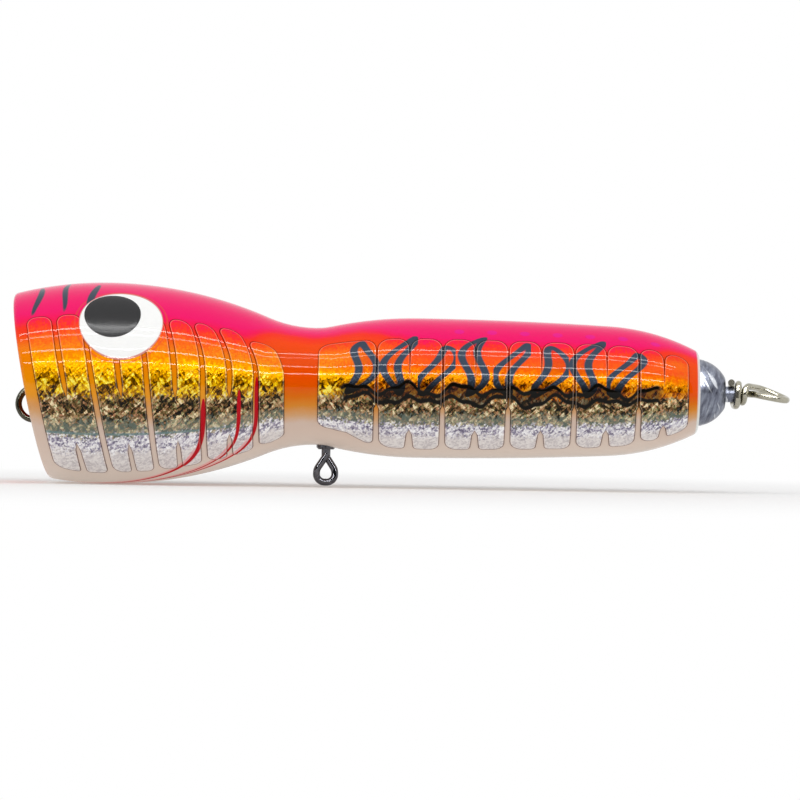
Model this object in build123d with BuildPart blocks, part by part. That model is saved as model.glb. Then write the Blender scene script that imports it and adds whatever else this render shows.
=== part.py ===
"""Big-game topwater popper: a turned body in two halves on a through-wire.

The flanks carry slit foil, the tail a lead weight, and the belly a swivel linked round the wire.
Frame: millimetres, +X from the mouth to the tail, +Z up to the back, and Y = 0 the joint plane
of the two halves. The origin is the centre of the tow eye. Stations are distances back from
the upper lip, along the turning axis.
"""

import math
import os

from build123d import *

# ---- Driving dimensions, mm and degrees ----

# Where the turning axis and the upper lip lie from the tow eye's centre
AXIS_ABOVE_TOW_EYE = 5.5
LIP_AHEAD_OF_TOW_EYE = 5.7

# Body outline: stations and radii, the hip's as a share of the barrel's,
# and the share of the nape and of the rise at which each turns over
LIP_RADIUS = 22.2
HEAD_STATION = 24.0
HEAD_RADIUS = 25.4
NAPE_TURN = 0.77
WAIST_STATION = 76.4
WAIST_RADIUS = 14.8
RISE_TURN = 0.155
BARREL_STATION = 102.0
BARREL_RADIUS = 17.65
HIP_STATION = 150.6
HIP_SHARE = 0.929
TAIL_STATION = 173.1
TAIL_EDGE_RADIUS = 10.2
TAIL_EDGE_ROUNDING = 1.9

# Mouth: a slanted cut with a dished cup
MOUTH_SLANT = 11.5
CUP_RADIUS = 21.3
CUP_DEPTH = 13.5
CUP_BELOW_AXIS = 1.0
LIP_OUTER_ROUNDING = 1.1
LIP_INNER_ROUNDING = 0.6

# Through-wire: eyes bent as rounded hexagons, then wraps round the wire or the weight's nib
WIRE_DIAMETER = 1.7
EYE_RADIUS = 4.0
EYE_SIDES = 6
EYE_BEND_RADIUS = 3.84
THROAT_BEND_RADIUS = 2.4
WRAP_LEAD_IN = 1.87
WRAP_GAP = 0.08
WRAP_ROUNDNESS = 0.95
TOW_WRAPS = 3
TAIL_EYE_BEHIND_TAIL = 18.5
TAIL_EYE_DROOP = 15.0
TAIL_WRAP_QUARTERS = 9
FIRST_TAIL_WRAP_RADIUS = 2.05
BORE_CLEARANCE = 0.1

# Nose washer
WASHER_RADIUS = 3.6
WASHER_THICKNESS = 0.8
WASHER_CHAMFER = 0.2

# Tail weight
LEAD_RADIUS = 8.5
LEAD_LENGTH = 6.9
LEAD_FACE_RADIUS = 3.9
LEAD_BULGE = 1.0
NIB_RADIUS = 2.0
NIB_LENGTH = 2.4
SHANK_RADIUS = 5.0
SHANK_LENGTH = 11.0

# Ballast slugs
SLUG_RADIUS = 4.0
SLUG_BELOW_AXIS = 9.3
FRONT_SLUG_STATION = 104.0
FRONT_SLUG_LENGTH = 18.0
REAR_SLUG_STATION = 136.0
REAR_SLUG_LENGTH = 22.0
SLUG_CHAMFER = 0.4
SEAT_CLEARANCE = 0.1
GLUE_FILM = 0.05

# Belly swivel
SWIVEL_STATION = 79.5
RING_WIRE = 1.8
RING_WIDTH = 6.4
RING_LENGTH = 8.1
LEG_BEND_RADIUS = 2.52
RING_BEND_RADIUS = 2.07
LEG_CROSSING = 0.54
LEG_SPLAY = 0.36
NECK_PIN_RADIUS = 1.15
NECK_PIN_LENGTH = 1.1
BARREL_OUTER_RADIUS = 2.45
BARREL_WALL = 0.55
BARREL_PROUD = 0.8
BARREL_END_CHAMFER = 0.5
HEAD_THICKNESS = 1.2
RUNNING_CLEARANCE = 0.06
END_PLAY = 0.15
POCKET_CLEARANCE = 0.2

# Foil: one slit sheet on each flank of the head and of the barrel
FOIL_THICKNESS = 0.12
FOIL_LOW_ANGLE = 61.5
SLIT_WIDTH = 1.1
SLIT_TOP_BELOW_AXIS = 2.0
RIM_BAND = 3.2
HEAD_FIRST_SLIT = 21.9
HEAD_SLIT_PITCH = 13.4
HEAD_SLITS = 4
HEAD_FOIL_END = 69.0
HEAD_FOIL_TOP_ANGLE = 50.0
FLANK_FOIL_START = 77.2
FLANK_FIRST_SLIT = 91.9
FLANK_SLIT_PITCH = 16.35
FLANK_SLITS = 5
FLANK_FOIL_END = 170.0
FLANK_FOIL_TOP_ANGLE = 41.0

# Eyes
EYE_DISC_RADIUS = 10.6
EYE_DISC_THICKNESS = 0.22
EYE_STATION = 28.4
EYE_ANGLE = 37.6
PUPIL_RADIUS = 7.0
PUPIL_THICKNESS = 0.1
PUPIL_STATION = 26.4
PUPIL_ANGLE = 42.5
EYE_GAP = 0.05

# ---- Places worked out from the dimensions ----

hip_radius = HIP_SHARE * BARREL_RADIUS
lead_face_station = TAIL_STATION + LEAD_LENGTH
tail_eye_station = TAIL_STATION + TAIL_EYE_BEHIND_TAIL


def at(station, above_axis):
    """A point of the mid-plane from its station and its height above the turning axis."""
    return (station - LIP_AHEAD_OF_TOW_EYE, AXIS_ABOVE_TOW_EYE + above_axis)


turning_axis = Axis((0, 0, AXIS_ABOVE_TOW_EYE), (1, 0, 0))
wire_radius = WIRE_DIAMETER / 2
wrap_radius = WIRE_DIAMETER + WRAP_GAP
tail_eye_x, tail_eye_z = at(tail_eye_station, 0)
wire_slope = math.atan2(tail_eye_z, tail_eye_x)
wire_length = math.hypot(tail_eye_x, tail_eye_z)
# Local x runs along the wire to the tail, local y up, local z out of the left flank
wire_frame = Plane((0, 0, 0), x_dir=(math.cos(wire_slope), 0, math.sin(wire_slope)), z_dir=(0, -1, 0))
wire_section = Plane(wire_frame.origin, x_dir=(0, 1, 0), z_dir=wire_frame.x_dir)


def outline(extra=0.0):
    """The edges of the body's side from the upper lip to the tail's end face, raised by extra."""
    lip = Vector(*at(0, LIP_RADIUS + extra))
    head = Vector(*at(HEAD_STATION, HEAD_RADIUS + extra))
    waist = Vector(*at(WAIST_STATION, WAIST_RADIUS + extra))
    barrel = Vector(*at(BARREL_STATION, BARREL_RADIUS + extra))
    hip = Vector(*at(HIP_STATION, hip_radius + extra))
    tail = Vector(*at(TAIL_STATION, TAIL_EDGE_RADIUS + extra))
    brow = TangentArc(head, lip, tangent=(-1, 0), mode=Mode.PRIVATE)
    nape_turn = head + (waist - head) * NAPE_TURN
    nape = TangentArc(head, nape_turn, tangent=(1, 0), mode=Mode.PRIVATE)
    hollow = TangentArc(nape_turn, waist, tangent=nape % 1, mode=Mode.PRIVATE)
    rise_turn = waist + (barrel - waist) * RISE_TURN
    flare = TangentArc(waist, rise_turn, tangent=(1, 0), mode=Mode.PRIVATE)
    rise = TangentArc(rise_turn, barrel, tangent=flare % 1, mode=Mode.PRIVATE)
    back = TangentArc(barrel, hip, tangent=(1, 0), mode=Mode.PRIVATE)
    taper = TangentArc(hip, tail, tangent=back % 1, mode=Mode.PRIVATE)
    return [brow, nape, hollow, flare, rise, back, taper]


side_edges = outline()


def body_radius(station):
    """The body's radius at a station, found on the outline's edges."""
    x = at(station, 0)[0]
    edge = min(side_edges, key=lambda e: max(e.bounding_box().min.X - x, x - e.bounding_box().max.X))
    low, high = sorted((0.0, 1.0), key=lambda t: (edge @ t).X)
    for _ in range(30):
        middle = (low + high) / 2
        low, high = (middle, high) if (edge @ middle).X < x else (low, middle)
    return (edge @ low).Y - AXIS_ABOVE_TOW_EYE


# The mouth's cut: local z points into the body
slant = math.radians(MOUTH_SLANT)
lip_x, lip_z = at(0, LIP_RADIUS)
mouth = Plane((lip_x, 0, lip_z), x_dir=(0, 1, 0), z_dir=(math.cos(slant), 0, math.sin(slant)))
down_mouth = Vector(math.sin(slant), 0, -math.cos(slant))
cup_centre = mouth.origin + down_mouth * (LIP_RADIUS / math.cos(slant) + CUP_BELOW_AXIS)
cup_side = Plane(cup_centre, x_dir=mouth.z_dir, z_dir=(0, -1, 0))

# Along the wire, from the tow eye's centre: the throat, the wraps, the washer
throat = EYE_RADIUS / math.cos(math.pi / EYE_SIDES)
wraps_start = throat + WRAP_LEAD_IN
wrap_pitch = WIRE_DIAMETER + WRAP_GAP
tow_wraps_end = wraps_start + TOW_WRAPS * wrap_pitch
washer_front = tow_wraps_end + wire_radius
washer_back = washer_front + WASHER_THICKNESS

# Swivel: heights from the tow eye's level
swivel_x, belly_z = at(SWIVEL_STATION, -body_radius(SWIVEL_STATION))
barrel_foot_z = belly_z - BARREL_PROUD
lower_throat_z = barrel_foot_z - NECK_PIN_LENGTH
swivel_foot_z = lower_throat_z - RING_LENGTH
wire_z = swivel_x * math.tan(wire_slope)
ring_top_z = wire_z + wire_radius + SEAT_CLEARANCE + RING_WIRE
barrel_top_z = ring_top_z - RING_LENGTH - NECK_PIN_LENGTH
strand = RING_WIRE / 2
barrel_bore = BARREL_OUTER_RADIUS - BARREL_WALL
head_radius = barrel_bore - END_PLAY
end_hole = NECK_PIN_RADIUS + RUNNING_CLEARANCE

slugs = {
    "ballast_front": (*at(FRONT_SLUG_STATION, -SLUG_BELOW_AXIS), FRONT_SLUG_LENGTH),
    "ballast_rear": (*at(REAR_SLUG_STATION, -SLUG_BELOW_AXIS), REAR_SLUG_LENGTH),
}

os.makedirs("parts", exist_ok=True)

# ---- Body ----

with BuildPart() as body:
    with BuildSketch(Plane.XZ):
        with BuildLine():
            add(outline())
            tail_edge = at(TAIL_STATION, TAIL_EDGE_RADIUS)
            tail_middle = at(TAIL_STATION, 0)
            nose_middle = at(0, 0)
            nose_edge = at(0, LIP_RADIUS)
            Polyline(tail_edge, tail_middle, nose_middle, nose_edge)
        make_face()
        fillet(vertices().sort_by(Axis.X)[-2:].sort_by(Axis.Y)[-1], TAIL_EDGE_ROUNDING)
    revolve(axis=turning_axis)
    split(bisect_by=mouth, keep=Keep.TOP)
    fillet(edges().group_by(Axis(mouth.origin, mouth.z_dir))[0], LIP_OUTER_ROUNDING)
    # The dished cup, turned about the mouth's own axis, with its inner lip rounded over
    with BuildSketch(cup_side):
        with BuildLine():
            TangentArc((CUP_DEPTH, 0), (0, CUP_RADIUS), tangent=(0, 1))
            Polyline(
                (0, CUP_RADIUS),
                (0, 2 * CUP_RADIUS),
                (-CUP_DEPTH, 2 * CUP_RADIUS),
                (-CUP_DEPTH, 0),
                (CUP_DEPTH, 0),
            )
        make_face()
        fillet(vertices().sort_by_distance(cup_centre - down_mouth * CUP_RADIUS)[0], LIP_INNER_ROUNDING)
    revolve(axis=Axis(cup_centre, mouth.z_dir), mode=Mode.SUBTRACT)
    # Washer seat in the cup's floor, and the wire's bore
    with BuildSketch(wire_section.offset(washer_back)):
        Circle(WASHER_RADIUS + SEAT_CLEARANCE)
    extrude(amount=-CUP_DEPTH, mode=Mode.SUBTRACT)
    with BuildSketch(wire_section):
        Circle(wire_radius + BORE_CLEARANCE)
    extrude(amount=wire_length, mode=Mode.SUBTRACT)
    # Socket for the tail weight's shank
    with BuildSketch(Plane.YZ.offset(tail_middle[0])):
        with Locations((0, AXIS_ABOVE_TOW_EYE)):
            Circle(SHANK_RADIUS + SEAT_CLEARANCE)
    extrude(amount=-SHANK_LENGTH - SEAT_CLEARANCE, mode=Mode.SUBTRACT)
    # Pockets for the ballast slugs
    for slug_x, slug_z, length in slugs.values():
        with BuildSketch(Plane.YZ.offset(slug_x - length / 2 - SEAT_CLEARANCE)):
            with Locations((0, slug_z)):
                Circle(SLUG_RADIUS + SEAT_CLEARANCE)
        extrude(amount=length + 2 * SEAT_CLEARANCE, mode=Mode.SUBTRACT)
    # Bore for the swivel's barrel, and the pocket round its upper eye
    with BuildSketch(Plane.XY.offset(barrel_top_z + SEAT_CLEARANCE)):
        with Locations((swivel_x, 0)):
            Circle(BARREL_OUTER_RADIUS + SEAT_CLEARANCE)
    extrude(amount=-BARREL_RADIUS, mode=Mode.SUBTRACT)
    with BuildSketch(Plane.XY.offset(barrel_top_z)):
        with Locations((swivel_x, 0)):
            SlotOverall(
                RING_WIDTH + 2 * POCKET_CLEARANCE,
                2 * (strand + LEG_CROSSING + SEAT_CLEARANCE),
                rotation=90,
            )
    extrude(amount=ring_top_z + POCKET_CLEARANCE - barrel_top_z, mode=Mode.SUBTRACT)

with BuildPart() as body_left_half:
    add(body.part)
    split(bisect_by=Plane.XZ, keep=Keep.TOP)

with BuildPart() as body_right_half:
    add(body.part)
    split(bisect_by=Plane.XZ, keep=Keep.BOTTOM)

body_left_half.part.label = "body_left_half"
export_step(body_left_half.part, "parts/body_left_half.step")
body_right_half.part.label = "body_right_half"
export_step(body_right_half.part, "parts/body_right_half.step")

# ---- Foil and eyes ----


def turned(extra):
    """The body's full turned form, raised by extra: what the foil and the discs are wrapped on."""
    with BuildPart() as form:
        with BuildSketch(Plane.XZ):
            with BuildLine():
                add(outline(extra))
                edge = at(TAIL_STATION, TAIL_EDGE_RADIUS + extra)
                Polyline(edge, at(TAIL_STATION, 0), at(0, 0), at(0, LIP_RADIUS + extra))
            make_face()
        revolve(axis=turning_axis)
    return form.part


def share_at(angle):
    """The share of the body's radius at which an angle above the side lies above the axis."""
    return math.sin(math.radians(angle))


def behind_mouth(angle):
    """The station at which the foil starts, a plain band behind the mouth's rim."""
    station = RIM_BAND
    for _ in range(10):
        rim_station = (LIP_RADIUS - share_at(angle) * body_radius(station)) * math.tan(slant)
        station = rim_station + RIM_BAND
    return station


def slit_sheet(starts, slits, end, top_angle):
    """The side view of a foil sheet, from its lower and upper starts to its end, slit from below."""
    lower_stations = [starts[0], *slits, end]
    upper_stations = [end, *reversed(slits), starts[1]]
    lower_edge = [at(s, share_at(-FOIL_LOW_ANGLE) * body_radius(s)) for s in lower_stations]
    upper_edge = [at(s, share_at(top_angle) * body_radius(s)) for s in upper_stations]
    with BuildSketch(Plane.XZ) as sheet:
        with BuildLine():
            Polyline(*lower_edge, *upper_edge, close=True)
        make_face()
        for station in slits:
            with Locations(at(station, -SLIT_TOP_BELOW_AXIS - HEAD_RADIUS / 2)):
                Rectangle(SLIT_WIDTH, HEAD_RADIUS, mode=Mode.SUBTRACT)
    return sheet.sketch


def flank_plane(station, angle):
    """A plane on the turning axis that looks out of the left flank, at an angle above the side."""
    x, z = at(station, 0)
    outward = Vector(0, -math.cos(math.radians(angle)), math.sin(math.radians(angle)))
    return Plane((x, 0, z), x_dir=(1, 0, 0), z_dir=outward)


head_slits = [HEAD_FIRST_SLIT + HEAD_SLIT_PITCH * n for n in range(HEAD_SLITS)]
flank_slits = [FLANK_FIRST_SLIT + FLANK_SLIT_PITCH * n for n in range(FLANK_SLITS)]
head_starts = (behind_mouth(-FOIL_LOW_ANGLE), behind_mouth(HEAD_FOIL_TOP_ANGLE))
flank_starts = (FLANK_FOIL_START, FLANK_FOIL_START)
head_sheet = slit_sheet(head_starts, head_slits, HEAD_FOIL_END, HEAD_FOIL_TOP_ANGLE)
flank_sheet = slit_sheet(flank_starts, flank_slits, FLANK_FOIL_END, FLANK_FOIL_TOP_ANGLE)
glued_form = turned(GLUE_FILM)
foil_form = turned(GLUE_FILM + FOIL_THICKNESS)
eye_disc_form = turned(GLUE_FILM + EYE_DISC_THICKNESS)
pupil_seat_form = turned(2 * GLUE_FILM + EYE_DISC_THICKNESS)
pupil_form = turned(2 * GLUE_FILM + EYE_DISC_THICKNESS + PUPIL_THICKNESS)

with BuildPart() as head_foil_left:
    extrude(head_sheet, amount=2 * HEAD_RADIUS)
    add(foil_form, mode=Mode.INTERSECT)
    add(glued_form, mode=Mode.SUBTRACT)
    with BuildSketch(flank_plane(EYE_STATION, EYE_ANGLE)):
        Circle(EYE_DISC_RADIUS + EYE_GAP)
    extrude(amount=2 * HEAD_RADIUS, mode=Mode.SUBTRACT)

with BuildPart() as flank_foil_left:
    extrude(flank_sheet, amount=2 * BARREL_RADIUS)
    add(foil_form, mode=Mode.INTERSECT)
    add(glued_form, mode=Mode.SUBTRACT)

with BuildPart() as eye_disc_left:
    with BuildSketch(flank_plane(EYE_STATION, EYE_ANGLE)):
        Circle(EYE_DISC_RADIUS)
    extrude(amount=2 * HEAD_RADIUS)
    add(eye_disc_form, mode=Mode.INTERSECT)
    add(glued_form, mode=Mode.SUBTRACT)

with BuildPart() as pupil_left:
    with BuildSketch(flank_plane(PUPIL_STATION, PUPIL_ANGLE)):
        Circle(PUPIL_RADIUS)
    extrude(amount=2 * HEAD_RADIUS)
    add(pupil_form, mode=Mode.INTERSECT)
    add(pupil_seat_form, mode=Mode.SUBTRACT)

flank_pieces = {
    "head_foil": head_foil_left,
    "flank_foil": flank_foil_left,
    "eye_disc": eye_disc_left,
    "pupil": pupil_left,
}
for name, left_piece in flank_pieces.items():
    left_piece.part.label = f"{name}_left"
    export_step(left_piece.part, f"parts/{name}_left.step")
    with BuildPart() as right_piece:
        mirror(left_piece.part, about=Plane.XZ)
    right_piece.part.label = f"{name}_right"
    export_step(right_piece.part, f"parts/{name}_right.step")

# ---- Through-wire ----


def eye_corners(first_wrap_radius, later_wrap_radius, quarters, droop):
    """The corners of a wire that forms an eye and wraps back round itself, with each corner's bend radius.

    x points out of the body through the eye's centre, y is up the eye, and z is square to it.
    The wire drifts to one side on its way round the eye, so that it comes back beside itself.
    """
    corners = [((-throat, 0, 0), THROAT_BEND_RADIUS)]
    for side in range(1, EYE_SIDES):
        angle = math.pi - 2 * math.pi * side / EYE_SIDES
        x = throat * math.cos(angle)
        drift = first_wrap_radius * (side / (EYE_SIDES - 1)) ** 2
        drop = (x + throat) * math.tan(math.radians(droop))
        corners.append(((x, throat * math.sin(angle), drift - drop), EYE_BEND_RADIUS))
    for quarter in range(quarters):
        radius = first_wrap_radius if quarter < 4 else later_wrap_radius
        up, out = ((1, 1), (1, -1), (-1, -1), (-1, 1))[quarter % 4]
        x = -wraps_start - wrap_pitch * quarter / 4
        corners.append(((x, up * radius, out * radius), WRAP_ROUNDNESS * first_wrap_radius))
    return corners


tow_corners = [
    ((-x, y, z), bend) for (x, y, z), bend in eye_corners(wrap_radius, wrap_radius, 4 * TOW_WRAPS, 0.0)
]
nib_wrap_radius = NIB_RADIUS + wire_radius + WRAP_GAP
tail_corners = [
    ((wire_length + x, z, y), bend)
    for (x, y, z), bend in eye_corners(
        FIRST_TAIL_WRAP_RADIUS, nib_wrap_radius, TAIL_WRAP_QUARTERS, TAIL_EYE_DROOP
    )
]
route = [*reversed(tow_corners), *tail_corners]
points = [corner for corner, _ in route]
bends = [bend for _, bend in route][1:-1]

with BuildPart() as through_wire:
    with BuildLine(wire_frame) as wire_line:
        FilletPolyline(*points, radius=bends)
    with BuildSketch(Plane(wire_line.wires()[0] @ 0, z_dir=wire_line.wires()[0] % 0)):
        Circle(wire_radius)
    sweep(path=wire_line.wires()[0])

through_wire.part.label = "through_wire"
export_step(through_wire.part, "parts/through_wire.step")

with BuildPart() as nose_washer:
    with BuildSketch(wire_section.offset(washer_back)):
        Circle(WASHER_RADIUS)
        Circle(wire_radius + BORE_CLEARANCE, mode=Mode.SUBTRACT)
    extrude(amount=-WASHER_THICKNESS)
    chamfer(edges().filter_by(GeomType.CIRCLE).group_by(SortBy.RADIUS)[-1], WASHER_CHAMFER)
nose_washer.part.label = "nose_washer"
export_step(nose_washer.part, "parts/nose_washer.step")

# ---- Lead: tail weight and ballast slugs ----

shank_end = TAIL_STATION - SHANK_LENGTH
weight_face_along_wire = at(lead_face_station, 0)[0] / math.cos(wire_slope)

with BuildPart() as tail_weight:
    with BuildSketch(Plane.XZ):
        with BuildLine():
            Polyline(
                at(TAIL_STATION, LEAD_RADIUS),
                at(TAIL_STATION, SHANK_RADIUS),
                at(shank_end, SHANK_RADIUS),
                at(shank_end, 0),
                at(lead_face_station, 0),
                at(lead_face_station, LEAD_FACE_RADIUS),
            )
            SagittaArc(
                at(lead_face_station, LEAD_FACE_RADIUS),
                at(TAIL_STATION, LEAD_RADIUS),
                -LEAD_BULGE,
            )
        make_face()
    revolve(axis=turning_axis)
    # The nib that the tail wraps are wound on, and the bore, both in line with the wire
    with BuildSketch(wire_section.offset(weight_face_along_wire - NIB_RADIUS)):
        Circle(NIB_RADIUS)
    extrude(amount=NIB_LENGTH + NIB_RADIUS)
    with BuildSketch(wire_section):
        Circle(wire_radius + BORE_CLEARANCE)
    extrude(amount=wire_length, mode=Mode.SUBTRACT)
tail_weight.part.label = "tail_weight"
export_step(tail_weight.part, "parts/tail_weight.step")

for name, (slug_x, slug_z, length) in slugs.items():
    with BuildPart() as slug:
        with BuildSketch(Plane.YZ.offset(slug_x - length / 2)):
            with Locations((0, slug_z)):
                Circle(SLUG_RADIUS)
        extrude(amount=length)
        chamfer(edges().filter_by(GeomType.CIRCLE), SLUG_CHAMFER)
    slug.part.label = name
    export_step(slug.part, f"parts/{name}.step")

# ---- Belly swivel ----

swivel_axis = Axis((swivel_x, 0, 0), (0, 0, 1))

with BuildPart() as swivel_barrel:
    with BuildSketch(Plane.XZ):
        with Locations((swivel_x + BARREL_OUTER_RADIUS / 2, (barrel_top_z + barrel_foot_z) / 2)):
            Rectangle(BARREL_OUTER_RADIUS, barrel_top_z - barrel_foot_z)
        chamfer(vertices().group_by(Axis.X)[-1], BARREL_END_CHAMFER)
        with Locations((swivel_x + barrel_bore / 2, (barrel_top_z + barrel_foot_z) / 2)):
            Rectangle(barrel_bore, barrel_top_z - barrel_foot_z - 2 * BARREL_WALL, mode=Mode.SUBTRACT)
        with Locations((swivel_x + end_hole / 2, (barrel_top_z + barrel_foot_z) / 2)):
            Rectangle(end_hole, 2 * (barrel_top_z - barrel_foot_z), mode=Mode.SUBTRACT)
    revolve(axis=swivel_axis)
swivel_barrel.part.label = "swivel_barrel"
export_step(swivel_barrel.part, "parts/swivel_barrel.step")

ring_radius = (RING_WIDTH - RING_WIRE) / 2
# The lower eye: a round shank with a head in the barrel, and a ring whose two legs cross below it
with BuildPart() as swivel_lower_eye:
    with BuildLine() as leg:
        FilletPolyline(
            (swivel_x + LEG_SPLAY, -LEG_CROSSING, lower_throat_z),
            (swivel_x - ring_radius, -LEG_CROSSING, lower_throat_z - RING_LENGTH / 2),
            (swivel_x - ring_radius, 0, swivel_foot_z + strand),
            (swivel_x, 0, swivel_foot_z + strand),
            radius=[LEG_BEND_RADIUS, RING_BEND_RADIUS],
        )
    with BuildSketch(Plane(leg.wires()[0] @ 0, z_dir=leg.wires()[0] % 0)):
        Circle(strand)
    sweep(path=leg.wires()[0])
    add(swivel_lower_eye.part.rotate(swivel_axis, 180))
    with BuildSketch(Plane.XY.offset(lower_throat_z - strand)):
        with Locations((swivel_x, 0)):
            Circle(NECK_PIN_RADIUS)
    extrude(amount=barrel_foot_z + BARREL_WALL + END_PLAY - lower_throat_z + strand)
    with BuildSketch(Plane.XY.offset(barrel_foot_z + BARREL_WALL + END_PLAY)):
        with Locations((swivel_x, 0)):
            Circle(head_radius)
    extrude(amount=HEAD_THICKNESS)
swivel_lower_eye.part.label = "swivel_lower_eye"
export_step(swivel_lower_eye.part, "parts/swivel_lower_eye.step")

# The upper eye is the same forging, upside down and turned a quarter, with the through-wire in its ring
with BuildPart() as swivel_upper_eye:
    foot_to_origin = Location((-swivel_x, 0, -swivel_foot_z))
    over_the_wire = Location((swivel_x, 0, ring_top_z), (180, 0, 90))
    add(over_the_wire * foot_to_origin * swivel_lower_eye.part)
swivel_upper_eye.part.label = "swivel_upper_eye"
export_step(swivel_upper_eye.part, "parts/swivel_upper_eye.step")
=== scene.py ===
import math

import bmesh
import bpy
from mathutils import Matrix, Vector


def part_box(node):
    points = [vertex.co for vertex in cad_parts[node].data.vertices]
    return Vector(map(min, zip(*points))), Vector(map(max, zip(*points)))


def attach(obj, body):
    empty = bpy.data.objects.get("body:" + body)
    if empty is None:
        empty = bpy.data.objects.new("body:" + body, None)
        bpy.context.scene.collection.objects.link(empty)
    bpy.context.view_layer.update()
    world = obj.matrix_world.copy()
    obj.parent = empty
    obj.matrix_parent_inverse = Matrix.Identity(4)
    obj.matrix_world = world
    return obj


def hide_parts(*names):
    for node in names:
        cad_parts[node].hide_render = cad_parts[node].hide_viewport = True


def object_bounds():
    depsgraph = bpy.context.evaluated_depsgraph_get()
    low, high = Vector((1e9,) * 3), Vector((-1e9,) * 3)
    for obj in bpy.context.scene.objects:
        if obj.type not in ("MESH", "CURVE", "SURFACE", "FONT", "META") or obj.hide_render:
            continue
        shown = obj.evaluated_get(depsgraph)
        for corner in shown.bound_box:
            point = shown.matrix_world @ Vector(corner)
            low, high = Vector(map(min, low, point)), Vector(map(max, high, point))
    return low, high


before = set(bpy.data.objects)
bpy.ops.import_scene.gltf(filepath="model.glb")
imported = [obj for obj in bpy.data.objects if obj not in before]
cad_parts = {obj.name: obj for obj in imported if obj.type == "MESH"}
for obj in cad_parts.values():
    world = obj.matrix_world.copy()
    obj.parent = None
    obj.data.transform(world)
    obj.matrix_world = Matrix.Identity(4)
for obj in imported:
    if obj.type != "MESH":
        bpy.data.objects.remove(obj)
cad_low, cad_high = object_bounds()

# ---- Camera ----
# A long lens a metre off the left flank, level with the middle of the lure.
# It leans a little to one side, so that the mouth stands slightly higher than the tail.
MM = 0.001
CAMERA_DISTANCE = 1000 * MM
CAMERA_LENS = 178.0
CAMERA_SENSOR = 36.0
CAMERA_LEAN = math.radians(0.94)
CAMERA_STATION = 92.3 * MM
CAMERA_HEIGHT = 2.4 * MM

camera_data = bpy.data.cameras.new("camera")
camera_data.lens = CAMERA_LENS
camera_data.sensor_width = CAMERA_SENSOR
camera = bpy.data.objects.new("camera", camera_data)
camera.location = (CAMERA_STATION, -CAMERA_DISTANCE, CAMERA_HEIGHT)
camera.rotation_euler = (math.pi / 2, -CAMERA_LEAN, 0)
bpy.context.collection.objects.link(camera)
bpy.context.scene.camera = camera
bpy.context.scene.view_settings.view_transform = "Standard"


# ---- Studio ----
# A white table under a white sky, and a long softbox overhead on the camera's side. Thin tubes show
# only in gloss, and leave the fine streaks in the lacquer. A black card gives the metal its dark sides.
TABLE_SIZE = 8.0
TABLE_WHITE = (0.92, 0.92, 0.92, 1)
LIT_WHITE = (1, 1, 1, 1)
# How much of the table glows: to light the lure, to the eye near the lure, and wholly further out
TABLE_FILL = 0.5
TABLE_NEAR = 0.06
SHADOW_ENDS = (0.07, 0.24)
SKY_LEVEL = 0.66
SOFTBOX_ELEVATION = 61.0
SOFTBOX_DISTANCE = 0.9
SOFTBOX_SIZE = (2.4, 0.62)
SOFTBOX_GLOW = 1.2
SOFTBOX_FACE_GLOW = 4.0
CARD_PLACE = -0.75
CARD_SIZE = (2.4, 0.66)
CARD_BLACK = (0.012, 0.012, 0.014, 1)
TUBE_ELEVATIONS = (24.0, 38.0, 56.0, 64.0)
TUBE_GLOWS = (32.0, 27.0, 15.0, 27.0)
TUBE_SIZE = (1.1, 22 * MM)
TUBE_DISTANCE = 0.62


class Value:
    """The output of a node, on which Math nodes can be written as sums."""

    def __init__(self, finish, socket):
        self.finish = finish
        self.socket = socket

    def math(self, operation, first, second=0.0):
        return self.finish.node("Math", {"operation": operation}, {0: first, 1: second})

    def other(self, name):
        """Another output of the same node."""
        return Value(self.finish, self.socket.node.outputs[name])

    def __add__(self, other):
        return self.math("ADD", self, other)

    def __radd__(self, other):
        return self + other

    def __sub__(self, other):
        return self.math("SUBTRACT", self, other)

    def __rsub__(self, other):
        return self.math("SUBTRACT", other, self)

    def __mul__(self, other):
        return self.math("MULTIPLY", self, other)

    def __rmul__(self, other):
        return self * other

    def __truediv__(self, other):
        return self.math("DIVIDE", self, other)

    def __pow__(self, other):
        return self.math("POWER", self, other)

    def __abs__(self):
        return self.math("ABSOLUTE", self)

    def least(self, other):
        return self.math("MINIMUM", self, other)

    def most(self, other):
        return self.math("MAXIMUM", self, other)

    def sine(self):
        return self.math("SINE", self)

    def nearest_whole(self):
        return self.math("ROUND", self)

    def step(self, start, end):
        """A smooth climb from 0 at start to 1 at end."""
        settings = {"interpolation_type": "SMOOTHSTEP"}
        sockets = {"Value": self, "From Min": start, "From Max": end}
        return self.finish.node("MapRange", settings, sockets)

    def between(self, start, end, soft):
        """1 from start to end, and 0 a soft distance outside them."""
        return self.step(start - soft, start) * (1 - self.step(end, end + soft))


def pigment(red, green, blue):
    """A colour given from 0 to 255 as it shows, in the linear values that a shader takes."""
    shares = [channel / 255 for channel in (red, green, blue)]
    linear = [share / 12.92 if share <= 0.04045 else ((share + 0.055) / 1.055) ** 2.4 for share in shares]
    return (*linear, 1.0)


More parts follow.
